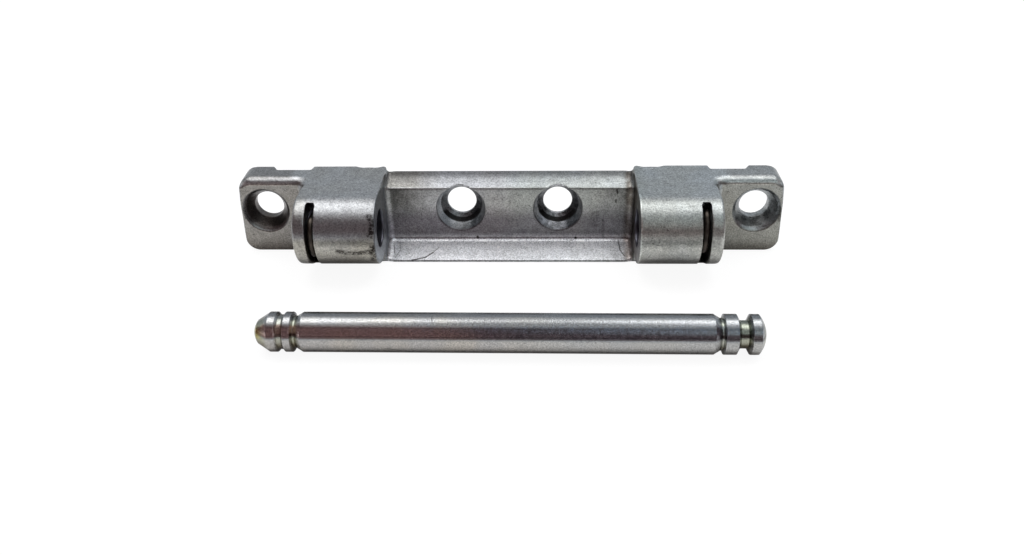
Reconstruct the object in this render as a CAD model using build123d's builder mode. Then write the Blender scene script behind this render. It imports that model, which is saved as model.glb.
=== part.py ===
"""Frame-side bearing of a window scissor stay, with its hinge pin drawn out.

Row frame: +X along the hinge axis, +Y away from the viewer into the window frame,
+Z up. The origin is the centre of the screw row on the back of the web. Millimetres.
"""
import os
from math import atan2, cos, degrees, radians, sin, sqrt

from build123d import *

# Hinge pin and the bores that take it
pin_diameter = 6.0
bore_clearance = 0.1
bore_edge_chamfer = 0.12

# Bearing block
barrel_diameter = 12.0
axis_to_back = 11.35
base_drop = 8.0
channel_width = 42.7
knuckle_length = 13.45
knuckle_foot_front = 2.05
seam_round = 1.0
front_edge_chamfer = 0.2
back_corner_round = 0.6

# Lugs
lug_thickness = 5.2
lug_length = 11.9
lug_corner_radius = 2.3
lug_end_draft = 2.0

# Relief of the back: the pads are the faces that meet the window frame
pad_height = 1.3
recess_start_inset = 0.3
recess_length = 5.9
recess_inner_slope = 0.35
recess_outer_slope = 0.8
lug_relief_height = 6.8
pocket_width = 8.6
pocket_height = 8.6
pocket_depth = 5.0
pocket_centre_height = -1.1
pocket_corner_radius = 1.2

# Web between the knuckles
web_relief = 0.8
web_thickness = 3.7
web_top = 5.5
web_crest_width = 0.3
web_cove_radius = 6.4
web_cove_foot_depth = 2.4
web_cove_foot_height = 4.36
web_slope_foot = 3.85
ledge_height = 1.95
ledge_lip_height = 0.45
channel_corner_round = 1.0
ledge_corner_round = 0.8
web_edge_round = 0.3

# Screw holes for 5 mm countersunk screws
screw_hole_diameter = 5.06
lug_screw_from_end = 4.4
lug_sink_diameter = 8.4
lug_sink_chamfer = 0.6
lug_sink_depth = 2.4
web_screw_spacing = 16.85
web_sink_diameter = 8.5
web_sink_wall_diameter = 7.3
web_sink_wall_depth = 2.2
web_sink_depth = 3.3

# Slots and wire clips
slot_from_knuckle_end = 2.8
slot_width = 1.45
slot_roof = 0.4
slot_depth_behind_axis = 3.8
slot_back_height = 9.0
wire_diameter = 1.0
clip_bite = 0.5
clip_bow_radius = 4.8
clip_corner_radius = 1.5
clip_leg_behind_axis = 2.6
left_clip_turn = 1.0
left_clip_slant = 1.5
right_clip_turn = 19.0
right_clip_slant = 1.8

# Small raised casting marks on the top edge
cast_mark_from_channel = 3.05
cast_mark_width = 1.6
cast_mark_depth = 1.2
cast_mark_height = 0.15

# Hinge pin, from the outside of each locking groove outwards
clip_float = 1.45
groove_depth = 0.6
groove_floor = 0.25
groove_cone = 1.0
left_ring_gap = 0.35
left_ring_width = 1.0
left_second_groove_width = 0.6
left_second_groove_depth = 0.4
second_groove_side = 0.35
left_land_width = 1.05
nose_cone_length = 1.8
nose_tip_diameter = 3.7
nose_tip_length = 0.65
right_ring_width = 1.8
right_ring_gap = 0.25
neck_diameter = 4.15
neck_length = 1.05
neck_side = 0.5
head_width = 1.2
head_dome_length = 1.1

# Where the drawn-out pin lies, on the level that the bearing stands on
pin_ahead_of_axis = 22.93
pin_shift = 0.5
pin_turn = -0.25

# Worked out from the sizes above
pin_radius = pin_diameter / 2
bore_radius = pin_radius + bore_clearance
barrel_radius = barrel_diameter / 2
channel_half = channel_width / 2
knuckle_outer = channel_half + knuckle_length
lug_root = knuckle_outer - knuckle_length / 3
lug_end = knuckle_outer + lug_length
lug_screw_x = lug_end - lug_screw_from_end
slot_x = knuckle_outer - slot_from_knuckle_end
pad_y = web_relief
pad_plane = Plane.XZ.offset(-pad_y)
axis_y = pad_y - axis_to_back
lug_front = pad_y - lug_thickness
web_front = -web_thickness
ledge_front = axis_y + knuckle_foot_front
wire_radius = wire_diameter / 2
overlap = 1.0
near = 0.01


def screw_cutter(wall_depth, rim, corner, corner_depth, sink_depth):
    """Hole cut from a face at y = 0 back through wall_depth, wide at its mouth."""
    hole = screw_hole_diameter / 2
    with BuildPart() as cutter:
        with BuildSketch(Plane.XY):
            with BuildLine():
                Polyline(
                    (0, -overlap),
                    (rim, -overlap),
                    (rim, 0),
                    (corner, corner_depth),
                    (hole, sink_depth),
                    (hole, wall_depth + overlap),
                    (0, wall_depth + overlap),
                    close=True,
                )
            make_face()
        revolve(axis=Axis.Y)
    return cutter.part


# One end of the block: barrel, backing block, foot and lug. One bevel runs along all
# the front edges, through the rounded seam between the knuckle and the lug.
draft_run = sin(radians(lug_end_draft))
with BuildPart() as block_end:
    with BuildSketch(Plane.YZ.offset(channel_half)):
        with Locations((axis_y, 0)):
            Circle(barrel_radius)
        with Locations((axis_y, -barrel_radius / 2)):
            Rectangle(axis_to_back, barrel_radius * 1.5, align=(Align.MIN, Align.MIN))
        with Locations((axis_y + knuckle_foot_front, -base_drop)):
            Rectangle(axis_to_back - knuckle_foot_front, base_drop, align=(Align.MIN, Align.MIN))
    extrude(amount=knuckle_length)
    with BuildSketch(pad_plane) as lug_outline:
        with BuildLine():
            Polyline(
                (lug_root, -base_drop),
                (lug_end + base_drop * draft_run, -base_drop),
                (lug_end - barrel_radius * draft_run, barrel_radius),
                (lug_root, barrel_radius),
                close=True,
            )
        make_face()
        fillet(lug_outline.vertices().group_by(Axis.X)[1:], radius=lug_corner_radius)
    extrude(amount=lug_thickness)
    seam_corner = (knuckle_outer, lug_front, 0)
    seam = block_end.edges().filter_by(Axis.Z).sort_by_distance(seam_corner)[0]
    fillet(seam, radius=seam_round)
    seam_face = block_end.faces().filter_by(GeomType.CYLINDER).sort_by_distance(seam_corner)[0]
    end_face = block_end.faces().filter_by(Axis.X).sort_by_distance((knuckle_outer, axis_y, 0))[0]
    lug_face = block_end.faces().filter_by(Axis.Y).sort_by_distance((lug_end, lug_front, 0))[0]
    front_edges = end_face.edges() + lug_face.edges() - seam_face.edges()
    chamfer(front_edges, length=front_edge_chamfer)

# The web between the knuckles, with its hollow sloped top and its ledge at the foot
cove_foot = (-web_cove_foot_depth, web_cove_foot_height)
with BuildPart() as web:
    with BuildSketch(Plane.YZ.offset(-channel_half - overlap)):
        with BuildLine():
            RadiusArc((-web_crest_width, web_top), cove_foot, web_cove_radius)
            Polyline(
                cove_foot,
                (web_front, web_slope_foot),
                (web_front, ledge_height - base_drop),
                (ledge_front, ledge_lip_height - base_drop),
                (ledge_front, -base_drop),
                (0, -base_drop),
                (0, web_top),
                (-web_crest_width, web_top),
            )
        make_face()
    extrude(amount=channel_width + 2 * overlap)
    ledge_corner = web.edges().filter_by(Axis.X).sort_by_distance((0, web_front, ledge_height - base_drop))[0]
    fillet(ledge_corner, radius=ledge_corner_round)
    web_edge = web.edges().filter_by(Axis.X).sort_by_distance((0, web_front, web_slope_foot))[0]
    fillet(web_edge, radius=web_edge_round)

with BuildPart() as bearing_body:
    add(web.part)
    add(block_end.part)
    mirror(about=Plane.YZ)

    # Rounded corners where the web meets the knuckles
    channel_corners = bearing_body.edges().filter_by(
        lambda edge: abs(abs(edge.center().X) - channel_half) < near
        and abs(edge.center().Y - web_front) < near
        and edge.center().Z > ledge_height - base_drop)
    fillet(channel_corners, radius=channel_corner_round)
    back_corners = bearing_body.edges().filter_by(Axis.Z).filter_by(
        lambda edge: abs(abs(edge.center().X) - channel_half) < near
        and abs(edge.center().Y - pad_y) < near)
    fillet(back_corners, radius=back_corner_round)

    # Bores for the hinge pin, eased where they open into the channel
    with BuildSketch(Plane.YZ.offset(-knuckle_outer - overlap)):
        with Locations((axis_y, 0)):
            Circle(bore_radius)
    extrude(amount=2 * (knuckle_outer + overlap), mode=Mode.SUBTRACT)
    bore_mouths = bearing_body.edges().filter_by(GeomType.CIRCLE).filter_by(
        lambda edge: abs(edge.radius - bore_radius) < near
        and abs(abs(edge.center().X) - channel_half) < near)
    chamfer(bore_mouths, length=bore_edge_chamfer)

    # Slots for the wire clips, open to the front of the barrel
    surface_z = barrel_radius - slot_roof
    surface_y = axis_y - sqrt(barrel_radius**2 - surface_z**2)
    back_y = axis_y + slot_depth_behind_axis
    slope = (surface_z - slot_back_height / 2) / (surface_y - back_y)
    mouth_y = axis_y - barrel_radius - overlap
    mouth_z = slot_back_height / 2 + slope * (mouth_y - back_y)
    for side in (-1, 1):
        slot_start = side * slot_x - slot_width / 2
        with BuildSketch(Plane.YZ.offset(slot_start)):
            with BuildLine():
                Polyline(
                    (back_y, slot_back_height / 2),
                    (mouth_y, mouth_z),
                    (mouth_y, -mouth_z),
                    (back_y, -slot_back_height / 2),
                    close=True,
                )
            make_face()
        extrude(amount=slot_width, mode=Mode.SUBTRACT)

    # Screw holes
    lug_hole = screw_cutter(
        lug_thickness,
        lug_sink_diameter / 2,
        lug_sink_diameter / 2 - lug_sink_chamfer,
        lug_sink_chamfer,
        lug_sink_depth,
    )
    with Locations((-lug_screw_x, lug_front, 0), (lug_screw_x, lug_front, 0)):
        add(lug_hole, mode=Mode.SUBTRACT)
    web_hole = screw_cutter(
        web_thickness,
        web_sink_diameter / 2,
        web_sink_wall_diameter / 2,
        web_sink_wall_depth,
        web_sink_depth,
    )
    with Locations((-web_screw_spacing / 2, web_front, 0), (web_screw_spacing / 2, web_front, 0)):
        add(web_hole, mode=Mode.SUBTRACT)

    # Back: a recess between the pads, a relief across each lug and a cored pocket
    recess_inner = knuckle_outer - recess_start_inset
    recess_outer = recess_inner + recess_length
    for side in (-1, 1):
        with BuildSketch(Plane.XY.offset(-base_drop - overlap)):
            with BuildLine():
                Polyline(
                    (side * (recess_inner - recess_inner_slope), pad_y),
                    (side * recess_inner, pad_y - pad_height),
                    (side * recess_outer, pad_y - pad_height),
                    (side * (recess_outer + recess_outer_slope), pad_y),
                    close=True,
                )
            make_face()
        extrude(amount=base_drop + barrel_radius + 2 * overlap, mode=Mode.SUBTRACT)
    with BuildSketch(pad_plane):
        relief_length = lug_end - recess_inner + overlap
        for side in (-1, 1):
            with Locations((side * (recess_inner + relief_length / 2), 0)):
                Rectangle(relief_length, lug_relief_height)
    extrude(amount=pad_height, mode=Mode.SUBTRACT)
    with BuildSketch(pad_plane):
        for side in (-1, 1):
            with Locations((side * (channel_half + knuckle_length / 2), pocket_centre_height)):
                RectangleRounded(pocket_width, pocket_height, pocket_corner_radius)
    extrude(amount=pocket_depth, mode=Mode.SUBTRACT)

    # Casting marks on the top edge
    for side in (-1, 1):
        mark_x = side * (channel_half + cast_mark_from_channel)
        with Locations((mark_x, pad_y - cast_mark_depth / 2, barrel_radius)):
            Box(cast_mark_width, cast_mark_depth, 2 * cast_mark_height)


def dome_radius(rim_radius, height):
    """Radius of the sphere whose cap has this rim and height."""
    return (rim_radius**2 + height**2) / (2 * height)


# Hinge pin: turned in one piece, lying in front of the bearing
groove_radius = pin_radius - groove_depth
groove_half = slot_x - clip_float / 2
left_points = [
    (-groove_half + groove_floor / 2 + groove_cone, pin_radius),
    (-groove_half + groove_floor / 2, groove_radius),
    (-groove_half - groove_floor / 2, groove_radius),
]
for width, radius, side in (
    (left_ring_width, pin_radius, left_ring_gap),
    (left_second_groove_width, pin_radius - left_second_groove_depth, second_groove_side),
    (left_land_width, pin_radius, second_groove_side),
):
    start = left_points[-1][0] - side
    left_points += [(start, radius), (start - width, radius)]
left_points.append((left_points[-1][0] - nose_cone_length, nose_tip_diameter / 2))
right_points = [
    (groove_half - groove_floor / 2 - groove_cone, pin_radius),
    (groove_half - groove_floor / 2, groove_radius),
    (groove_half + groove_floor / 2, groove_radius),
]
for width, radius, side in (
    (right_ring_width, pin_radius, right_ring_gap),
    (neck_length, neck_diameter / 2, neck_side),
    (head_width, pin_radius, neck_side),
):
    start = right_points[-1][0] + side
    right_points += [(start, radius), (start + width, radius)]

pin_centre = Vector(pin_shift, axis_y - pin_ahead_of_axis, pin_radius - base_drop)
pin_direction = Vector(cos(radians(pin_turn)), sin(radians(pin_turn)), 0)
pin_plane = Plane(origin=pin_centre, x_dir=pin_direction, z_dir=(0, 0, 1))
with BuildPart() as hinge_pin:
    with BuildSketch(pin_plane):
        with BuildLine():
            left_tip = (left_points[-1][0] - nose_tip_length, 0)
            right_tip = (right_points[-1][0] + head_dome_length, 0)
            Polyline(*reversed(left_points), *right_points)
            RadiusArc(left_tip, left_points[-1], dome_radius(nose_tip_diameter / 2, nose_tip_length))
            RadiusArc(right_points[-1], right_tip, dome_radius(pin_radius, head_dome_length))
            Line(right_tip, left_tip)
        make_face()
    revolve(axis=Axis(pin_centre, pin_direction))


def wire_clip(clip_x, turn, slant):
    """Spring wire bent to a bow in front of the bore and two legs that cross it."""
    leg_height = bore_radius - clip_bite + wire_radius
    corner_height = leg_height - clip_corner_radius
    corner_ahead = sqrt((clip_bow_radius - clip_corner_radius) ** 2 - corner_height**2)
    bow_angle = degrees(atan2(corner_height, corner_ahead))
    front = Vector(0, -cos(radians(turn)), sin(radians(turn)))
    up = Vector(0, sin(radians(turn)), cos(radians(turn)))
    normal = up * sin(radians(slant)) - Vector(cos(radians(slant)), 0, 0)
    clip_plane = Plane(origin=(clip_x, axis_y, 0), x_dir=front, z_dir=normal)
    with BuildPart() as clip:
        with BuildLine(clip_plane) as path:
            Line((-clip_leg_behind_axis, leg_height), (corner_ahead, leg_height))
            CenterArc((corner_ahead, corner_height), clip_corner_radius, 90, bow_angle - 90)
            CenterArc((0, 0), clip_bow_radius, bow_angle, -2 * bow_angle)
            CenterArc((corner_ahead, -corner_height), clip_corner_radius, -bow_angle, bow_angle - 90)
            Line((corner_ahead, -leg_height), (-clip_leg_behind_axis, -leg_height))
        route = path.wires()[0]
        with BuildSketch(Plane(origin=route @ 0, z_dir=route % 0)):
            Circle(wire_radius)
        sweep(path=route)
    return clip


left_wire_clip = wire_clip(-slot_x, left_clip_turn, left_clip_slant)
right_wire_clip = wire_clip(slot_x, right_clip_turn, right_clip_slant)

os.makedirs("parts", exist_ok=True)
bearing_body.part.label = "bearing_body"
export_step(bearing_body.part, "parts/bearing_body.step")
hinge_pin.part.label = "hinge_pin"
export_step(hinge_pin.part, "parts/hinge_pin.step")
left_wire_clip.part.label = "left_wire_clip"
export_step(left_wire_clip.part, "parts/left_wire_clip.step")
right_wire_clip.part.label = "right_wire_clip"
export_step(right_wire_clip.part, "parts/right_wire_clip.step")
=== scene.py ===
"""Looks of a window scissor stay bearing and its drawn-out hinge pin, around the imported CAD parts.

Metres, in the row frame: +X along the hinge axis, +Y into the window frame, +Z up.
The part's sizes and places are written in mm, and turned into metres where Blender takes them.
"""

import math

import bmesh
import bpy
import numpy as np
from mathutils import Matrix, Vector


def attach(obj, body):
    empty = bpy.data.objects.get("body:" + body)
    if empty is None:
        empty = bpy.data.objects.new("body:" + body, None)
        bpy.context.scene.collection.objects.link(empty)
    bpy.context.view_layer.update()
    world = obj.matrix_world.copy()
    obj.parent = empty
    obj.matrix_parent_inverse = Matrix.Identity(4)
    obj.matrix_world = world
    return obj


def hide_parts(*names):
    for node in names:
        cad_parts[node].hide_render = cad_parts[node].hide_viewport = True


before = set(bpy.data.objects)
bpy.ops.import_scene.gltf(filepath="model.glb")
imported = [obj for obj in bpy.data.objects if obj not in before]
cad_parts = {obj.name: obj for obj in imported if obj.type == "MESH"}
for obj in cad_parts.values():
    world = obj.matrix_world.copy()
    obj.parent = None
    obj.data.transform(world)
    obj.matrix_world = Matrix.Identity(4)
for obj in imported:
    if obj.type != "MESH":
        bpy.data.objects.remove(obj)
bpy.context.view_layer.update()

MM = 0.001

# Smallest divisor, which keeps a length of 0 from being divided by
TINY = 1e-6

# Camera, as fitted to the photograph: picture in pixels, lens and place in mm, angles in degrees
PHOTO_WIDTH, PHOTO_HEIGHT = 1024, 555
SENSOR = 36
LENS = 31.02
CAMERA_AT = Vector((5.587, -139.14, 71.348))
CAMERA_PITCH = 32.236
CAMERA_YAW = 2.26
CAMERA_ROLL = 1.134
CAMERA_TURN = (
    Matrix.Rotation(math.radians(CAMERA_YAW), 3, "Z")
    @ Matrix.Rotation(math.radians(90 - CAMERA_PITCH), 3, "X")
    @ Matrix.Rotation(math.radians(-CAMERA_ROLL), 3, "Z")
)

# Places on the bearing
AXIS_Y = -10.55
BARREL = 6.0
TOP = 6.0
BASE_Z = -8.0
KNUCKLE_IN = 21.35
KNUCKLE_OUT = 34.8
WEB_FRONT = -3.7
LUG_FRONT = -4.4
LUG_CORNER = (44.3, 3.7)
LEDGE_FRONT = -8.5
LEDGE_BACK_Z = -6.05
LEDGE_LIP_Z = -7.55
LUG_HOLE_X = 42.3
WEB_HOLE_X = 8.425

# Hollow slope above the web: centre (y, z) and radius of its arc
COVE_CENTRE = (-4.35, 10.457)
COVE_RADIUS = 6.4

# Sunk holes: x of the centre, depths (y) along the hole, and the radius at each depth
SCREW_RADIUS = 2.53
HOLES = (
    (LUG_HOLE_X, (LUG_FRONT, -3.8, -2.0, 0.8), (4.2, 3.6, SCREW_RADIUS, SCREW_RADIUS)),
    (WEB_HOLE_X, (WEB_FRONT, -1.5, -0.4, 0.0), (4.25, 3.65, SCREW_RADIUS, SCREW_RADIUS)),
)

# Rounds of the casting's soft edges
SEAM = 2.0
LUG_ROUND = 2.3
TOP_ROUND = 1.65
TOP_ROUND_DOWN = 0.85 * TOP_ROUND

# The drawn-out pin's axis
PIN_Y = -33.48
PIN_Z = -5.0

# Faces of the casting that show wear: a point and the normal of each plane, and the barrels
LEDGE_FACE = ((0, WEB_FRONT, LEDGE_BACK_Z), (0, LEDGE_LIP_Z - LEDGE_BACK_Z, WEB_FRONT - LEDGE_FRONT))
WALL_FACE = ((0, WEB_FRONT, 0), (0, 1, 0))
TOP_FACE = ((0, 0, TOP), (0, 0, 1))
LUG_FACE = ((0, LUG_FRONT, 0), (0, 1, 0))
BARREL_FACE = "barrel"

# Wear on the casting, each mark by its name: face, line through pixels of the photograph, radius in mm,
# depth of tone, and share broken up by noise
MARKS = {
    "ledge_scratch": (LEDGE_FACE, ((412, 260), (425, 257.5), (433, 252.5)), 0.14, 0.9, 0.0),
    "ledge_scratch_tail": (LEDGE_FACE, ((433, 252.5), (439, 247.5)), 0.07, 0.7, 0.0),
    "ledge_hook": (LEDGE_FACE, ((394, 240), (400, 243), (400.5, 250), (395, 258)), 0.07, 0.45, 0.0),
    "left_ledge_line": (LEDGE_FACE, ((394, 241), (394.5, 253)), 0.08, 0.6, 0.0),
    "right_ledge_line": (LEDGE_FACE, ((618, 240), (620, 250), (624.5, 256)), 0.1, 0.75, 0.0),
    "left_speck": (WALL_FACE, ((477.5, 236.5), (478, 237.5)), 0.2, 0.95, 0.0),
    "right_speck": (WALL_FACE, ((575.5, 237.5), (575.5, 239)), 0.22, 0.95, 0.0),
    "right_speck_tail": (LEDGE_FACE, ((575, 239), (570, 241)), 0.1, 0.8, 0.4),
    "upper_wall_tick": (WALL_FACE, ((617, 190), (617.5, 193)), 0.16, 0.9, 0.2),
    "lower_wall_tick": (WALL_FACE, ((616, 200), (616, 202)), 0.16, 0.8, 0.2),
    "wall_scratch": (WALL_FACE, ((603, 220), (603, 236)), 0.22, 0.5, 0.5),
    "wall_stain": (WALL_FACE, ((595.5, 214.5), (596, 223.5)), 0.7, 0.45, 0.8),
    "level_top_scratch": (TOP_FACE, ((697, 174), (706, 174)), 0.12, 0.4, 0.6),
    "slanting_top_scratch": (TOP_FACE, ((664, 181), (672, 186)), 0.14, 0.35, 0.6),
    "lug_rub": (LUG_FACE, ((779.5, 208), (780, 220)), 0.35, 0.7, 0.3),
    "barrel_belt": (BARREL_FACE, ((338, 251.5), (350, 253.5), (362, 253), (373, 251)), 0.45, 0.85, 0.6),
    "upper_barrel_end": (BARREL_FACE, ((369, 217), (371.5, 222), (371.5, 232), (370, 236)), 0.5, 0.9, 0.6),
    "lower_barrel_end": (BARREL_FACE, ((372.5, 247), (374, 260)), 0.55, 0.9, 0.6),
    "barrel_rim": (BARREL_FACE, ((376, 228), (374, 250.5)), 0.3, 0.8, 0.5),
}


def make_camera():
    """The camera as fitted."""
    data = bpy.data.cameras.new("camera")
    data.lens = LENS
    data.sensor_width = SENSOR
    data.clip_start, data.clip_end = 0.005, 20
    cam = bpy.data.objects.new("camera", data)
    cam.matrix_world = Matrix.Translation(CAMERA_AT * MM) @ CAMERA_TURN.to_4x4()
    bpy.context.scene.collection.objects.link(cam)
    bpy.context.scene.camera = cam


def seen_at(face, pixel):
    """Where the line of sight through a pixel of the photograph meets one of the casting's faces, in mm."""
    focal = LENS / SENSOR * PHOTO_WIDTH
    ray = CAMERA_TURN @ Vector((pixel[0] - PHOTO_WIDTH / 2, PHOTO_HEIGHT / 2 - pixel[1], -focal))
    if face == BARREL_FACE:
        out = Vector((CAMERA_AT.y - AXIS_Y, CAMERA_AT.z))
        way = Vector((ray.y, ray.z))
        half = way.dot(out)
        root = math.sqrt(half**2 - way.length_squared * (out.length_squared - BARREL**2))
        return CAMERA_AT + ray * ((-half - root) / way.length_squared)
    spot, normal = (Vector(values) for values in face)
    return CAMERA_AT + ray * (normal.dot(spot - CAMERA_AT) / normal.dot(ray))


class Shader:
    """A material's node tree, built with short calls."""

    def __init__(self, name):
        self.material = bpy.data.materials.new(name)
        self.material.use_nodes = True
        self.tree = self.material.node_tree
        self.tree.nodes.clear()
        self.place = self.node("ShaderNodeTexCoord").outputs["Object"]
        self.x, self.y, self.z = (self.axis(which) for which in range(3))

    def node(self, kind, inputs=None, **settings):
        """A new node, each of its inputs linked to a socket or set to a value."""
        made = self.tree.nodes.new(kind)
        for key, value in settings.items():
            setattr(made, key, value)
        for key, value in (inputs or {}).items():
            if isinstance(value, bpy.types.NodeSocket):
                self.tree.links.new(value, made.inputs[key])
            else:
                made.inputs[key].default_value = value
        return made

    def math(self, operation, a, b=0.0, clamp=False):
        return self.node("ShaderNodeMath", {0: a, 1: b}, operation=operation, use_clamp=clamp).outputs[0]

    def vector(self, operation, a, b=(0, 0, 0)):
        made = self.node("ShaderNodeVectorMath", {0: a, 1: b}, operation=operation)
        return made.outputs["Value" if operation in ("LENGTH", "DOT_PRODUCT") else "Vector"]

    def axis(self, which):
        """A coordinate of the place, in mm."""
        return self.math("DIVIDE", self.node("ShaderNodeSeparateXYZ", {0: self.place}).outputs[which], MM)

    def stretch(self, scale):
        """The place, scaled unevenly, for patterns that run one way."""
        return self.vector("MULTIPLY", self.place, scale)

    def noise(self, size, detail=2.0, roughness=0.5, place=None):
        """Soft noise whose features are about size mm across."""
        inputs = {
            "Vector": place or self.place,
            "Scale": 1 / (size * MM),
            "Detail": detail,
            "Roughness": roughness,
        }
        return self.node("ShaderNodeTexNoise", inputs).outputs["Fac"]

    def steps(self, value, low, high, start=0.0, end=1.0):
        """value mapped smoothly from low..high to start..end."""
        inputs = {"Value": value, "From Min": low, "From Max": high, "To Min": start, "To Max": end}
        return self.node("ShaderNodeMapRange", inputs, interpolation_type="SMOOTHSTEP").outputs["Result"]

    def within(self, value, low, high, soft=0.1):
        """1 where value lies between low and high, with soft ends."""
        rise = self.steps(value, low - soft, low + soft)
        return self.math("MULTIPLY", rise, self.steps(value, high - soft, high + soft, 1.0, 0.0))

    def both(self, *masks):
        """1 where all the masks are 1."""
        out = masks[0]
        for mask in masks[1:]:
            out = self.math("MULTIPLY", out, mask)
        return out

    def mix(self, factor, a, b, blend="MIX"):
        """Colour a where factor is 0, and b where it is 1."""
        inputs = {0: factor}
        for key, value in ((6, a), (7, b)):
            inputs[key] = value if isinstance(value, bpy.types.NodeSocket) else (*value, 1)
        return self.node("ShaderNodeMix", inputs, data_type="RGBA", blend_type=blend).outputs[2]

    def tint(self, mask, colour, tone):
        """colour multiplied by tone where mask is 1."""
        return self.mix(mask, colour, tone, "MULTIPLY")

    def length(self, a, b):
        """Length of the vector with the parts a and b."""
        squares = self.math("MULTIPLY", a, a), self.math("MULTIPLY", b, b)
        return self.math("SQRT", self.math("ADD", *squares))

    def streak(self, start, end, radius, soft=0.5):
        """1 on the line from start to end (mm), 0 beyond radius mm from it."""
        a, b = Vector(start) * MM, Vector(end) * MM
        run = b - a
        away = self.vector("SUBTRACT", self.place, a)
        along = self.math("DIVIDE", self.vector("DOT_PRODUCT", away, run), run.length_squared, clamp=True)
        nearest = self.node("ShaderNodeVectorMath", {0: run, "Scale": along}, operation="SCALE")
        gap = self.vector("LENGTH", self.vector("SUBTRACT", away, nearest.outputs["Vector"]))
        return self.steps(gap, radius * (1 - soft) * MM, radius * (1 + soft) * MM, 1.0, 0.0)

    def trail(self, points, radius):
        """1 along the whole line through the points (mm)."""
        out = None
        for start, end in zip(points, points[1:]):
            part = self.streak(start, end, radius)
            out = part if out is None else self.math("MAXIMUM", out, part)
        return out

    def finish(self, **inputs):
        """The material, ended with a surface whose inputs are named with _ for a space."""
        shown = {key.replace("_", " "): value for key, value in inputs.items()}
        surface = self.node("ShaderNodeBsdfPrincipled", shown)
        self.node("ShaderNodeOutputMaterial", {"Surface": surface.outputs[0]})
        return self.material


class CastingShader(Shader):
    """A shader that also knows the casting's two halves, its web and its sunk holes."""

    def __init__(self, name):
        super().__init__(name)
        self.side = self.math("ABSOLUTE", self.x)
        self.left = self.steps(self.x, 2.0, -2.0)
        self.right = self.steps(self.x, -2.0, 2.0)
        self.coarse = self.noise(1.5, 3.0, 0.6)
        channel = self.steps(self.side, 21.0, 21.3, 1.0, 0.0)
        self.slope = self.both(channel, self.steps(self.z, 3.85, 4.05))
        self.crest = self.both(channel, self.steps(self.z, 4.1, 5.3))
        self.wall = self.both(channel, self.within(self.y, -4.2, -3.5, 0.05), self.within(self.z, -6.1, 3.8))
        self.ledge = self.both(
            channel, self.within(self.y, -8.45, -3.75, 0.06), self.steps(self.z, -5.75, -6.0))
        self.flat = self.steps(self.z, 5.75, 5.95)
        lug_hole = self.length(self.math("SUBTRACT", self.side, LUG_HOLE_X), self.z)
        web_hole = self.length(self.math("SUBTRACT", self.side, WEB_HOLE_X), self.z)
        self.lug_sink = self.both(self.steps(lug_hole, 4.3, 3.9), self.within(self.y, -4.15, -0.2, 0.15))
        self.web_sink = self.both(self.steps(web_hole, 4.3, 4.15), self.within(self.y, -3.57, -0.12, 0.07))


def channel_tones(s, colour):
    """Hollow slope, wall and ledge between the knuckles: painted light on the slope and ledge, painted shade
    on the crest, the slope's left end and, with soot, low on the wall.
    """
    # Painted light: the hollow slope lighter. Painted shade: the crest darker.
    colour = s.tint(s.slope, colour, (1.12, 1.125, 1.15))
    colour = s.tint(s.crest, colour, (0.34, 0.34, 0.35))
    colour = s.tint(s.wall, colour, (1.18, 1.16, 1.13))
    # Soot with painted shade: the wall darker towards the bottom, partly grime and partly painted shade.
    uneven_height = s.math("ADD", s.z, s.math("MULTIPLY", s.coarse, 1.5))
    soot_and_shade = s.both(s.wall, s.steps(uneven_height, 2.0, -1.6))
    colour = s.tint(soot_and_shade, colour, (0.41, 0.385, 0.42))
    wall_foot = s.both(s.wall, s.steps(s.z, -4.6, -5.6))
    colour = s.mix(wall_foot, colour, (0.38, 0.37, 0.39))
    # Painted light: the ledge lighter, most towards the wall.
    ledge_light = s.math("ADD", s.math("MULTIPLY", s.steps(s.y, -8.2, -4.6), 0.3), 0.65)
    colour = s.mix(s.both(s.ledge, ledge_light), colour, (0.86, 0.87, 0.91))

    patchy = s.steps(s.coarse, 0.3, 0.6, 0.5, 1.0)
    smudge = s.both(s.wall, s.steps(s.x, -13.0, -18.5), s.steps(s.z, -4.5, 1.5), patchy)
    colour = s.tint(smudge, colour, (0.5, 0.5, 0.49))
    # Painted shadow: the slope darker at its left end, by the knuckle.
    left_slope_shade = s.both(s.slope, s.steps(s.x, -11.0, -17.0))
    colour = s.tint(left_slope_shade, colour, (0.6, 0.58, 0.54))
    wall_right = s.both(s.wall, s.steps(s.x, 13.0, 17.0), s.steps(s.z, -3.0, 0.5))
    return s.tint(wall_right, colour, (0.76, 0.74, 0.73))


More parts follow.
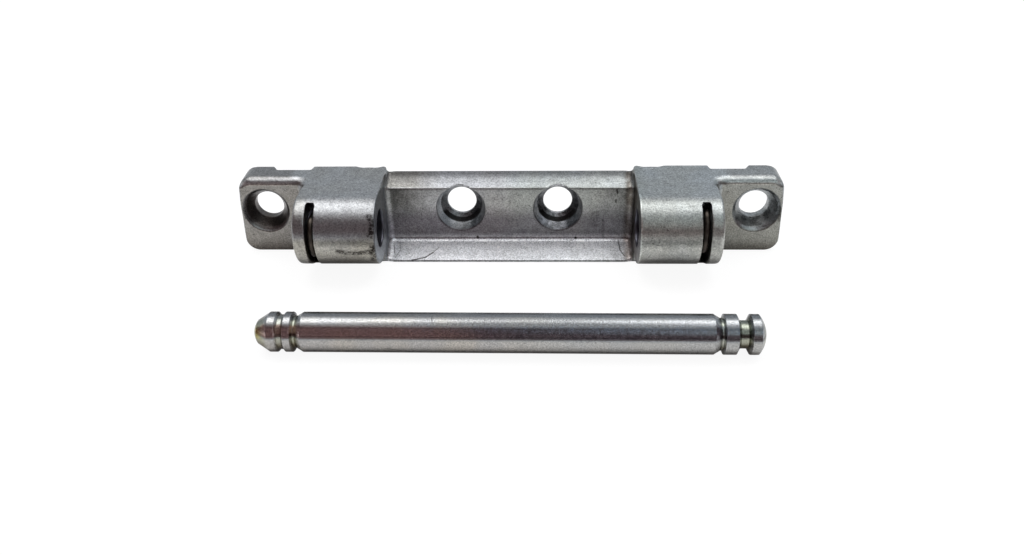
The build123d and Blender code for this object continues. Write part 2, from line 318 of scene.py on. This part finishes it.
def knuckle_tones(s, colour):
    """Cheeks that look into the channel, a painted highlight on the left fillet, barrels with painted shade
    underneath, painted reflection on their fronts and a painted highlight on the right inner rim, stains, and
    the flat tops with painted light on the right ones.
    """
    cheek = s.both(s.within(s.side, 21.28, 21.42, 0.04), s.steps(s.y, -3.9, -4.3))
    colour = s.tint(s.both(cheek, s.right), colour, (0.33, 0.31, 0.31))
    colour = s.mix(s.both(cheek, s.left), colour, (0.32, 0.345, 0.37))
    corner = s.both(s.within(s.side, 20.3, 21.28, 0.1), s.within(s.y, -4.75, -3.72, 0.05))
    # Painted highlight: the left fillet by the ledge lighter.
    fillet_highlight = s.both(corner, s.left, s.steps(s.z, -6.2, -5.9))
    colour = s.tint(fillet_highlight, colour, (1.5, 1.55, 1.6))

    outside = s.steps(s.side, 21.4, 21.6)
    # Painted shade: the barrels' undersides darker.
    under = s.both(outside, s.steps(s.z, -2.4, -4.0), s.steps(s.y, -9.0, -9.6))
    colour = s.tint(under, colour, (0.33, 0.32, 0.31))
    barrel_front = s.steps(s.y, -9.6, -10.6)
    # Painted reflection: the barrels' fronts lighter, low down on the left one and higher up on the right
    # one.
    front_reflection = s.both(barrel_front, outside)
    colour = s.tint(s.both(front_reflection, s.left, s.steps(s.z, 1.6, 0.4)), colour, (1.3, 1.24, 1.1))
    colour = s.tint(s.both(front_reflection, s.right, s.steps(s.z, 4.6, 3.0)), colour, (1.32, 1.27, 1.22))
    # Painted highlight: a thin bright line along the right barrel's inner edge.
    rim_highlight = s.both(barrel_front, s.within(s.x, 21.42, 21.66, 0.07))
    colour = s.tint(rim_highlight, colour, (1.5, 1.5, 1.48))

    patchy = s.steps(s.coarse, 0.35, 0.6, 0.55, 1.0)
    stain = s.both(s.within(s.x, 19.9, 21.45, 0.5), s.within(s.y, -8.4, -0.4), s.steps(s.side, 21.5, 21.4))
    colour = s.tint(s.both(stain, patchy), colour, (0.5, 0.44, 0.4))
    top_grain = s.steps(s.noise(0.34, 2.0, 0.6), 0.3, 0.7, 0.78, 1.22)
    colour = s.tint(s.flat, colour, top_grain)
    # Painted light: the right flat tops lighter and cooler.
    return s.tint(s.both(s.flat, s.steps(s.x, 21.0, 24.0)), colour, (1.1, 1.09, 1.12))


def lug_tones(s, colour):
    """Lugs, with a warm painted reflection on their fronts, painted shade towards the foot, a painted
    highlight on the upper edge, and dark sunk holes.
    """
    lug = s.both(s.steps(s.side, 35.4, 36.2), s.within(s.y, -4.6, -4.3, 0.08))
    behind_front = s.steps(s.y, -4.0, -3.5)
    # Painted reflection: the lugs' fronts warmer and darker.
    colour = s.tint(lug, colour, (0.87, 0.82, 0.75))
    colour = s.tint(s.both(behind_front, s.steps(s.x, -36.5, -38.0)), colour, (0.67, 0.65, 0.63))
    colour = s.tint(s.both(behind_front, s.steps(s.x, 36.5, 38.0)), colour, (0.82, 0.8, 0.78))
    # Painted shade: the lugs darker towards the foot.
    colour = s.tint(s.both(lug, s.steps(s.z, -5.2, -7.9)), colour, (0.55, 0.53, 0.52))
    # Painted highlight: the lugs' upper front edge lighter.
    brow_highlight = s.both(s.steps(s.side, 36.6, 37.6), s.within(s.z, 4.78, 5.3, 0.12), s.steps(s.y, -3.6, -3.9))
    colour = s.tint(brow_highlight, colour, (1.75, 1.75, 1.72))
    colour = s.tint(s.both(s.lug_sink, s.left), colour, (0.46, 0.41, 0.39))
    blotch = s.mix(s.steps(s.coarse, 0.4, 0.6), (0.56, 0.56, 0.58), (1.3, 1.3, 1.35))
    return s.tint(s.both(s.lug_sink, s.right), colour, blotch)


def web_sink_tones(s, colour):
    """Sinks in the web, bright and dark by turns, darker at their ends, lighter low on the right, with a
    painted shadow crescent low inside.
    """
    sink_tone = s.mix(s.steps(s.noise(0.9, 2.0, 0.6), 0.35, 0.65), (0.11, 0.113, 0.115), (0.28, 0.285, 0.295))
    sink_tone = s.mix(s.steps(s.x, -7.0, -11.5), sink_tone, (0.3, 0.31, 0.325))
    colour = s.mix(s.web_sink, colour, sink_tone)
    right_end = s.steps(s.x, 8.8, 10.4)
    colour = s.tint(s.both(s.web_sink, right_end), colour, (0.36, 0.36, 0.37))
    right_foot = s.both(s.right, s.steps(s.z, -1.8, -3.2), s.steps(s.x, 10.6, 9.6))
    colour = s.tint(s.both(s.web_sink, right_foot), colour, (1.6, 1.6, 1.65))
    left_end = s.both(s.left, s.steps(s.x, -7.6, -6.0))
    colour = s.tint(s.both(s.web_sink, left_end), colour, (0.45, 0.45, 0.46))
    # Painted shadow: a black crescent low inside the sinks.
    crescent_shadow = s.both(s.within(s.y, -1.7, -0.95, 0.08), s.steps(s.z, -1.0, -1.9))
    return s.mix(s.both(s.web_sink, crescent_shadow), colour, (0.03, 0.03, 0.03))


def wear_marks(s, colour):
    """Scratches and dark wear along the lines of MARKS."""
    ragged = s.steps(s.noise(0.45, 3.0, 0.7), 0.44, 0.56)
    for face, pixels, radius, depth, broken in MARKS.values():
        points = [seen_at(face, pixel) for pixel in pixels]
        mark = s.math("MULTIPLY", s.trail(points, radius), depth)
        if broken:
            mark = s.both(mark, s.math("ADD", s.math("MULTIPLY", ragged, broken), 1 - broken))
        colour = s.mix(mark, colour, (0.02, 0.016, 0.014))
    return colour


def cast_zinc():
    """Fine-grained die-cast zinc under a thin worn plating."""
    s = CastingShader("cast_zinc_look")
    grain = s.noise(0.26, 3.0, 0.65)
    broad = s.noise(9.0, 2.0, 0.5)
    colour = s.mix(s.steps(broad, 0.35, 0.65), (0.345, 0.352, 0.362), (0.33, 0.33, 0.325))
    colour = s.tint(s.right, colour, (1.03, 1.08, 1.06))
    for tones in (channel_tones, knuckle_tones, lug_tones, web_sink_tones, wear_marks):
        colour = tones(s, colour)

    colour = s.tint(1.0, colour, s.steps(grain, 0.25, 0.75, 0.62, 1.38))
    colour = s.tint(1.0, colour, s.steps(s.coarse, 0.3, 0.7, 1.1, 0.88))
    pits = s.steps(s.noise(0.38, 2.0, 0.6), 0.655, 0.72)
    colour = s.mix(s.math("MULTIPLY", pits, 0.7), colour, (0.06, 0.055, 0.055))
    # Painted shade: the bores dark inside.
    bore_shade = s.streak((-36, AXIS_Y, 0), (36, AXIS_Y, 0), 3.24, 0.02)
    colour = s.mix(bore_shade, colour, (0.1, 0.1, 0.12))

    bumps = s.math("MULTIPLY", s.noise(0.55, 2.0, 0.5), 0.45)
    height = s.math("ADD", s.math("MULTIPLY", grain, 0.55), bumps)
    strength = s.math("SUBTRACT", 1.0, s.math("MULTIPLY", s.web_sink, 0.8))
    bump = s.node("ShaderNodeBump", {"Strength": strength, "Distance": 0.05 * MM, "Height": height})
    rough = s.steps(s.coarse, 0.3, 0.7, 0.285, 0.335)
    rough = s.math("ADD", rough, s.math("MULTIPLY", s.ledge, 0.12))
    rough = s.math("ADD", rough, s.math("MULTIPLY", s.web_sink, 0.06))
    return s.finish(Base_Color=colour, Metallic=1.0, Roughness=rough, Normal=bump.outputs["Normal"])


class PinShader(Shader):
    """A shader that also knows how high and how far back a place lies off the pin's axis."""

    def __init__(self, name):
        super().__init__(name)
        self.off = self.math("SUBTRACT", self.z, PIN_Z)
        self.wide = self.math("SUBTRACT", self.y, PIN_Y)
        self.front = self.steps(self.wide, -1.0, -1.4)


def shaft_tones(s, colour):
    """Bands along the pin: painted shade on its back, underside and upper front, painted reflections on its
    front, mottled and partly bluish, and the worn seat.
    """
    # Painted shade: the pin's back, its underside and a band on its upper front darker.
    colour = s.tint(s.steps(s.wide, -0.9, 0.3), colour, (0.72, 0.72, 0.74))
    colour = s.tint(s.steps(s.off, -0.9, -1.9), colour, (0.34, 0.32, 0.3))
    colour = s.tint(s.both(s.front, s.within(s.off, 2.1, 2.75, 0.12)), colour, (0.66, 0.66, 0.67))
    # Painted reflection: a dark mauve band along the pin's front.
    colour = s.tint(s.both(s.front, s.within(s.off, 0.76, 1.2, 0.08)), colour, (0.5, 0.46, 0.46))

    # Painted reflection: the pin's front band lighter and warmer towards the left.
    reflection_band = s.both(s.front, s.within(s.off, 0.9, 2.3, 0.25))
    colour = s.tint(s.both(reflection_band, s.steps(s.x, 4.0, -14.0)), colour, (1.6, 1.2, 1.14))
    mottle = s.steps(s.noise(0.5, 3.0, 0.7), 0.35, 0.62)
    # Painted reflection: mottled mauve across the front band.
    mottled_reflection = s.mix(mottle, (0.5, 0.48, 0.54), (1.0, 0.97, 1.04))
    colour = s.tint(s.both(reflection_band, s.within(s.x, -6.0, 32.0, 8.0)), colour, mottled_reflection)
    blue = s.both(s.front, s.within(s.off, 1.7, 2.5, 0.3), s.steps(s.x, -24.0, -6.0), mottle)
    colour = s.tint(blue, colour, (0.78, 0.84, 0.92))
    seat_y, seat_z = PIN_Y - 2.45, PIN_Z - 1.75
    seat = s.streak((-29.5, seat_y, seat_z), (29.5, seat_y, seat_z), 0.42)
    return s.tint(seat, colour, s.mix(mottle, (0.35, 0.34, 0.34), (1.0, 1.0, 1.0)))


def pin_detail_tones(s, colour):
    """Two small scratches, a yellowish tint in the grooves at the pin's ends with painted shade on their
    lower side, its warm nose, and a painted reflection lightening its lower front.
    """
    tick = s.streak((-10.4, PIN_Y - 0.3, PIN_Z + 3.0), (-10.3, PIN_Y - 1.1, PIN_Z + 2.8), 0.09)
    scratch = s.streak((-17.2, PIN_Y - 2.8, PIN_Z - 0.9), (-15.2, PIN_Y - 2.7, PIN_Z - 1.2), 0.1)
    scored = s.math("MULTIPLY", s.math("MAXIMUM", tick, scratch), 0.45)
    colour = s.mix(scored, colour, (0.04, 0.035, 0.035))
    near_ends = s.steps(s.math("ABSOLUTE", s.x), 29.0, 29.6)
    groove = s.both(s.steps(s.length(s.off, s.wide), 2.9, 2.3), near_ends)
    colour = s.tint(groove, colour, (0.85, 0.87, 0.72))
    # Painted shade: the grooves darker on their lower side.
    colour = s.tint(s.both(groove, s.steps(s.off, 0.2, -1.0)), colour, (0.4, 0.34, 0.26))
    nose = s.both(s.steps(s.x, -35.3, -36.2), s.within(s.off, 0.2, 1.5, 0.4))
    colour = s.tint(nose, colour, (1.1, 0.98, 0.5))
    # Painted reflection: the pin's lower front lighter, as it mirrors the floor.
    return s.tint(s.both(s.front, s.steps(s.off, 0.7, 0.4)), colour, (1.36, 1.31, 1.25))


def plated_steel():
    """Turned and plated steel, with fine marks round the shaft."""
    s = PinShader("plated_steel_look")
    rings = s.noise(0.25, 2.0, 0.6, place=s.stretch((1.0, 0.05, 0.05)))
    grain = s.noise(0.17, 3.0, 0.65)
    specks = s.steps(s.noise(0.26, 2.0, 0.6), 0.64, 0.72)
    colour = s.mix(s.steps(s.noise(5.0), 0.35, 0.65), (0.345, 0.34, 0.325), (0.32, 0.325, 0.33))
    colour = s.mix(s.steps(s.x, -6.0, 10.0, 0.0, 0.6), colour, (0.325, 0.345, 0.36))
    colour = s.tint(1.0, colour, s.steps(grain, 0.25, 0.75, 0.6, 1.4))
    colour = s.mix(s.math("MULTIPLY", specks, 0.55), colour, (0.07, 0.06, 0.06))
    colour = shaft_tones(s, colour)
    colour = pin_detail_tones(s, colour)

    height = s.math("ADD", s.math("MULTIPLY", rings, 0.4), s.math("MULTIPLY", grain, 0.6))
    bevel = s.node("ShaderNodeBevel", {"Radius": 0.12 * MM}, samples=6).outputs["Normal"]
    marks = {"Strength": 0.6, "Distance": 0.04 * MM, "Height": height, "Normal": bevel}
    bump = s.node("ShaderNodeBump", marks)
    return s.finish(Base_Color=colour, Metallic=1.0, Roughness=0.22, Normal=bump.outputs["Normal"])


def spring_wire():
    """Drawn spring steel, darkened as painted shade for the slot it lies in."""
    s = Shader("spring_wire_look")
    # Painted shade: the wire's colour very dark.
    colour = s.mix(s.steps(s.noise(1.2), 0.3, 0.7), (0.10, 0.085, 0.072), (0.05, 0.043, 0.038))
    bump = s.node("ShaderNodeBump", {"Strength": 0.25, "Distance": 0.02 * MM, "Height": s.noise(0.2)})
    return s.finish(Base_Color=colour, Metallic=1.0, Roughness=0.35, Normal=bump.outputs["Normal"])


def ramp(value, low, high):
    """0 below low, 1 above high, smooth between."""
    rise = np.clip((value - low) / (high - low), 0, 1)
    return rise * rise * (3 - 2 * rise)


def relax(points, edges, weight, turns):
    """Evens out the points where weight is above 0, by turns of moving each towards its neighbours."""
    near = edges[(weight[edges] > 0).any(axis=1)]
    used, local = np.unique(near, return_inverse=True)
    ends = local.reshape(-1, 2)
    one, two = np.concatenate((ends[:, 0], ends[:, 1])), np.concatenate((ends[:, 1], ends[:, 0]))
    count = np.bincount(one, minlength=len(used))[:, None]
    step = 0.5 * weight[used][:, None]
    moved = points[used]
    for _ in range(turns):
        total = np.stack([np.bincount(one, moved[two, k], len(used)) for k in range(3)], axis=1)
        moved += step * (total / count - moved)
    points[used] = moved


def near_line(points, corners, reach):
    """1 on the line through the corners (mm, on both halves), falling to 0 at reach mm from it."""
    spots = points.copy()
    spots[:, 0] = np.abs(spots[:, 0])
    gap = np.full(len(spots), np.inf)
    for start, end in zip(corners, corners[1:]):
        start, run = np.array(start), np.subtract(end, start)
        along = np.clip((spots - start) @ run / (run @ run), 0, 1)
        gap = np.minimum(gap, np.linalg.norm(spots - start - along[:, None] * run, axis=1))
    return ramp(1 - gap / reach, 0, 1)


def true_barrels(points):
    """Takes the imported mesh's facets out of the barrels, but not by the knuckles' ends."""
    x, y, z = points.T
    side = np.abs(x)
    out = np.stack((y - AXIS_Y, z), axis=1)
    radius = np.linalg.norm(out, axis=1)
    share = ramp(side, KNUCKLE_IN + 0.1, KNUCKLE_IN + 0.5) * ramp(-side, 0.6 - KNUCKLE_OUT, 1.0 - KNUCKLE_OUT)
    share *= (np.abs(radius - BARREL) < 0.15) & ((y < AXIS_Y) | (z < 0)) & (y < LEDGE_FRONT - 0.3)
    out *= (1 + share * (BARREL / radius - 1))[:, None]
    y[:], z[:] = out[:, 0] + AXIS_Y, out[:, 1]


def true_holes(points):
    """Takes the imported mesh's facets out of the sunk holes, but not at their rims."""
    x, y, z = points.T
    for centre, depths, radii in HOLES:
        out = np.stack((np.abs(x) - centre, z), axis=1)
        radius = np.linalg.norm(out, axis=1)
        wanted = np.interp(y, depths, radii)
        share = ramp(y, depths[0] + 0.05, depths[0] + 0.3) * (np.abs(radius - wanted) < 0.2)
        out *= (1 + share * (wanted / radius - 1))[:, None]
        x[:], z[:] = np.sign(x) * (out[:, 0] + centre), out[:, 1]


def true_slope(points):
    """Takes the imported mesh's facets out of the hollow slope, but not by the knuckles and the crest."""
    x, y, z = points.T
    foot = COVE_CENTRE[1] - np.sqrt(np.maximum(COVE_RADIUS**2 - (y - COVE_CENTRE[0]) ** 2, 0))
    share = ramp(-np.abs(x), -20.8, -20.2) * ramp(y, -2.6, -2.2) * ramp(-y, 0.35, 0.5)
    share *= np.abs(z - foot) < 0.15
    z += share * (foot - z)


def round_over(first, second, reach_one, reach_two):
    """Depths below the two faces of an edge, taken back to an oval round where they lie outside it."""
    one, two = 1 - first / reach_one, 1 - second / reach_two
    gap = np.hypot(one, two)
    outside = (one > 0) & (two > 0) & (gap > 1)
    pull = np.where(outside, 1 / np.maximum(gap, TINY), 1.0)
    return reach_one * (1 - one * pull), reach_two * (1 - two * pull)


def from_seam(side, y):
    """Offsets and distance from the centre of the round between lug and knuckle."""
    bend = np.stack((side - KNUCKLE_OUT - SEAM, y - LUG_FRONT + SEAM), axis=1)
    return bend, np.linalg.norm(bend, axis=1)


def fill_seam(side, y):
    """Moves the sharp corner between lug and knuckle out to its round."""
    bend, reach = from_seam(side, y)
    in_corner = (bend[:, 0] < 0) & (bend[:, 1] > 0) & (reach > SEAM)
    on_faces = (side > KNUCKLE_OUT - 0.12) & (y < LUG_FRONT + 0.12)
    fill = np.where(in_corner & on_faces, SEAM / np.maximum(reach, TINY), 1.0)
    side += bend[:, 0] * (fill - 1)
    y += bend[:, 1] * (fill - 1)


def round_lug_edge(side, y, z):
    """Rounds the lug's upper front edge and its corner, less towards the corner's foot."""
    corner = np.stack((side - LUG_CORNER[0], z - LUG_CORNER[1]), axis=1)
    reach = np.linalg.norm(corner, axis=1)
    at_corner = (corner > 0).all(axis=1)
    depth = np.where(at_corner, LUG_ROUND - reach, TOP - z)
    lug = (side > KNUCKLE_OUT + SEAM) & (z > LUG_CORNER[1]) & (y < 0)
    front = y - LUG_FRONT
    size = 0.35 + 0.65 * ramp(z, 3.8, 5.2)
    new_front, new_depth = round_over(front, depth, TOP_ROUND * size, TOP_ROUND_DOWN * size)
    out = np.where(at_corner[:, None], corner / np.maximum(reach, TINY)[:, None], (0.0, 1.0))
    side -= np.where(lug, new_depth - depth, 0) * out[:, 0]
    z -= np.where(lug, new_depth - depth, 0) * out[:, 1]
    y += np.where(lug, new_front - front, 0)


def round_knuckle_edge(side, y, z):
    """Rounds the knuckle's end edge on top, less towards the barrel, and follows the seam's round."""
    bend, reach = from_seam(side, y)
    ahead = bend[:, 1] < 0
    inside = np.where(ahead, KNUCKLE_OUT - side, reach - SEAM)
    end = (bend[:, 0] < 0) & (inside > -0.1) & (inside < 2.0)
    end &= (z > 3.5) & (y > AXIS_Y) & (y < LUG_FRONT + 2.5)
    size = 0.42 + 0.58 * ramp(y, AXIS_Y + 2.5, LUG_FRONT)
    new_inside, new_depth = round_over(inside, TOP - z, TOP_ROUND * size, TOP_ROUND_DOWN * size)
    out = np.where(ahead[:, None], (-1.0, 0.0), bend / np.maximum(reach, TINY)[:, None])
    side += np.where(end, new_inside - inside, 0) * out[:, 0]
    y += np.where(end, new_inside - inside, 0) * out[:, 1]
    z -= np.where(end, new_depth - TOP + z, 0)


def soft_lug_edges(points):
    """Rounds the lugs' front edges, and the knuckles' end edges on top, on both halves."""
    x, y, z = points.T
    side, sign = np.abs(x), np.sign(x)
    fill_seam(side, y)
    round_lug_edge(side, y, z)
    round_knuckle_edge(side, y, z)
    x[:] = sign * side


def evaluated(piece):
    """A new mesh of the piece with its modifiers, which are then removed."""
    made = bpy.data.meshes.new_from_object(piece.evaluated_get(bpy.context.evaluated_depsgraph_get()))
    piece.modifiers.clear()
    return made


def soft_casting(node, name, voxel, turns, keep, worn_edges):
    """A new piece with the node's shape, its corners worn as soft as the casting's."""
    piece = bpy.data.objects.new(name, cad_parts[node].data.copy())
    bpy.context.scene.collection.objects.link(piece)
    weld = piece.modifiers.new("weld", "WELD")
    weld.merge_threshold = 1e-7
    remesh = piece.modifiers.new("remesh", "REMESH")
    remesh.mode = "VOXEL"
    remesh.voxel_size = voxel * MM
    made = evaluated(piece)
    piece.data = made

    points = np.empty(len(made.vertices) * 3, np.float32)
    edges = np.empty(len(made.edges) * 2, np.int32)
    made.vertices.foreach_get("co", points)
    made.edges.foreach_get("vertices", edges)
    points = points.reshape(-1, 3).astype(float) / MM
    edges = edges.reshape(-1, 2)
    relax(points, edges, np.ones(len(points)), turns)
    for corners, reach, rounds in worn_edges:
        relax(points, edges, near_line(points, corners, reach), rounds)
    for shape in (true_barrels, true_holes, true_slope, soft_lug_edges):
        shape(points)
    made.vertices.foreach_set("co", (points * MM).ravel())
    made.update()

    thin = piece.modifiers.new("thin", "DECIMATE")
    thin.ratio = keep
    piece.data = evaluated(piece)
    piece.data.name = name
    for face in piece.data.polygons:
        face.use_smooth = True
    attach(piece, "root")
    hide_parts(node)
    return piece


def dress(node, material):
    """Gives a carried-over CAD node its material."""
    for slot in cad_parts[node].material_slots:
        slot.material = material


def ray_switch(tree, shaders):
    """The seen shader for camera rays, the mirrored one for glossy and clear ones, else the plain one."""
    seen, mirrored, plain = shaders
    rays = tree.nodes.new("ShaderNodeLightPath")
    shown = tree.nodes.new("ShaderNodeMath")
    shown.operation = "MAXIMUM"
    tree.links.new(rays.outputs["Is Glossy Ray"], shown.inputs[0])
    tree.links.new(rays.outputs["Is Transmission Ray"], shown.inputs[1])
    out = plain
    for factor, shader in ((shown.outputs[0], mirrored), (rays.outputs["Is Camera Ray"], seen)):
        mixed = tree.nodes.new("ShaderNodeMixShader")
        tree.links.new(factor, mixed.inputs[0])
        tree.links.new(out, mixed.inputs[1])
        tree.links.new(shader, mixed.inputs[2])
        out = mixed.outputs[0]
    return out


def make_world():
    """Soft pale light all round, white where it is seen or mirrored."""
    world = bpy.data.worlds.new("studio")
    bpy.context.scene.world = world
    world.use_nodes = True
    tree = world.node_tree
    tree.nodes.clear()
    soft, white = (tree.nodes.new("ShaderNodeBackground") for _ in range(2))
    soft.inputs["Color"].default_value = (0.95, 0.97, 1.0, 1)
    soft.inputs["Strength"].default_value = 0.6
    white.inputs["Color"].default_value = (1, 1, 1, 1)
    white.inputs["Strength"].default_value = 1.0
    out = tree.nodes.new("ShaderNodeOutputWorld")
    shaders = white.outputs[0], white.outputs[0], soft.outputs[0]
    tree.links.new(ray_switch(tree, shaders), out.inputs["Surface"])


def pale_matt(tree, shade, glow):
    """A matt shade that takes shadows, lifted by a glow."""
    matt = tree.nodes.new("ShaderNodeBsdfDiffuse")
    matt.inputs["Color"].default_value = (shade, shade, shade, 1)
    light = tree.nodes.new("ShaderNodeEmission")
    light.inputs["Strength"].default_value = glow
    both = tree.nodes.new("ShaderNodeAddShader")
    tree.links.new(matt.outputs[0], both.inputs[0])
    tree.links.new(light.outputs[0], both.inputs[1])
    return both.outputs[0]


def stage_object(name, mesh):
    """Puts a stage mesh in the scene, and gives back it and its empty node tree."""
    made = bpy.data.objects.new(name, mesh)
    bpy.context.scene.collection.objects.link(made)
    material = bpy.data.materials.new(name)
    material.use_nodes = True
    material.node_tree.nodes.clear()
    mesh.materials.append(material)
    return made, material.node_tree


def make_floor():
    """A white floor that keeps the shadow: half its side in metres, gap below the part in mm."""
    half, gap = 3.0, 0.02
    z = (BASE_Z - gap) * MM
    mesh = bpy.data.meshes.new("floor")
    corners = [(-half, -half, z), (half, -half, z), (half, half, z), (-half, half, z)]
    mesh.from_pydata(corners, [], [(0, 1, 2, 3)])
    _, tree = stage_object("floor", mesh)
    shaders = pale_matt(tree, 0.16, 0.92), pale_matt(tree, 0.97, 0.10), pale_matt(tree, 0.85, 0.0)
    out = tree.nodes.new("ShaderNodeOutputMaterial")
    tree.links.new(ray_switch(tree, shaders), out.inputs["Surface"])


def lamp(name, at, target, size, power):
    """A rectangular light at a place, turned to a target; places and size in mm, power in watts."""
    data = bpy.data.lights.new(name, "AREA")
    data.shape = "RECTANGLE"
    data.size, data.size_y = (side * MM for side in size)
    data.energy = power
    lit = bpy.data.objects.new(name, data)
    lit.location = Vector(at) * MM
    lit.rotation_euler = (Vector(target) * MM - lit.location).to_track_quat("-Z", "Y").to_euler()
    bpy.context.scene.collection.objects.link(lit)


def panel(name, azimuths, elevations, colour, distance=0.9):
    """A plain curved board round the set (degrees, metres), out of the picture, which the metal mirrors."""
    across, up = 24, 8
    build = bmesh.new()
    rows = []
    for rise in np.radians(np.linspace(*elevations, up + 1)):
        row = []
        for turn in np.radians(np.linspace(*azimuths, across + 1)):
            spot = (math.sin(turn) * math.cos(rise), -math.cos(turn) * math.cos(rise), math.sin(rise))
            row.append(build.verts.new(Vector(spot) * distance))
        rows.append(row)
    for low, high in zip(rows, rows[1:]):
        for i in range(across):
            build.faces.new((low[i], low[i + 1], high[i + 1], high[i]))
    mesh = bpy.data.meshes.new(name)
    build.to_mesh(mesh)
    build.free()
    board, tree = stage_object(name, mesh)
    board.visible_camera = False
    board.visible_shadow = False
    glow = tree.nodes.new("ShaderNodeEmission")
    glow.inputs["Color"].default_value = (*colour, 1)
    out = tree.nodes.new("ShaderNodeOutputMaterial")
    tree.links.new(glow.outputs[0], out.inputs["Surface"])


make_camera()
make_world()
make_floor()
lamp("left_light", (-205, 72, 420), (-20, -12, 0), (290, 295), 0.60)
lamp("right_light", (205, 72, 420), (20, -12, 0), (290, 295), 0.57)
panel("front_board", (-100, 100), (0, 62), (0.17, 0.13, 0.135))
panel("side_board", (9, 75), (28, 63), (0.60, 0.66, 0.67), 0.85)
panel("back_board", (110, 250), (0, 48), (0.56, 0.60, 0.64))

# Lines along which the casting's edges are worn
knuckle_ring = [(KNUCKLE_OUT, LUG_FRONT - 1.0, TOP)] + [
    (KNUCKLE_OUT, AXIS_Y - BARREL * math.sin(turn), BARREL * math.cos(turn))
    for turn in np.linspace(0, math.pi, 19)
]
lug_top_edge = [
    (KNUCKLE_OUT, LUG_FRONT - 1.2, TOP), (35.1, LUG_FRONT - 0.3, TOP), (35.9, LUG_FRONT, TOP),
    (44.2, LUG_FRONT, TOP), (45.9, LUG_FRONT, 5.2), (46.6, LUG_FRONT, 3.4),
]
cast_mark = [(23.9, 0.8, 6.15), (24.9, 0.8, 6.15)]
slope_ends = [(KNUCKLE_IN, -0.3, 5.4), (KNUCKLE_IN, -2.4, 4.4), (KNUCKLE_IN, WEB_FRONT, 3.9)]
ledge_ends = [(KNUCKLE_IN, WEB_FRONT - 0.3, -6.1), (KNUCKLE_IN, LEDGE_FRONT + 0.4, -7.4)]

# Each line with the reach of its wear in mm, and the turns of evening out
worn_edges = (
    (lug_top_edge, 1.6, 30),
    (knuckle_ring, 1.2, 16),
    (cast_mark, 1.9, 120),
    (slope_ends, 1.6, 30),
    (ledge_ends, 1.6, 40),
)
casting = soft_casting(
    "bearing_body", "bearing_casting", voxel=0.15, turns=2, keep=0.33, worn_edges=worn_edges)
casting.data.materials.clear()
casting.data.materials.append(cast_zinc())
dress("hinge_pin", plated_steel())
wire = spring_wire()
dress("left_wire_clip", wire)
dress("right_wire_clip", wire)

bpy.context.scene.view_settings.view_transform = "Standard"
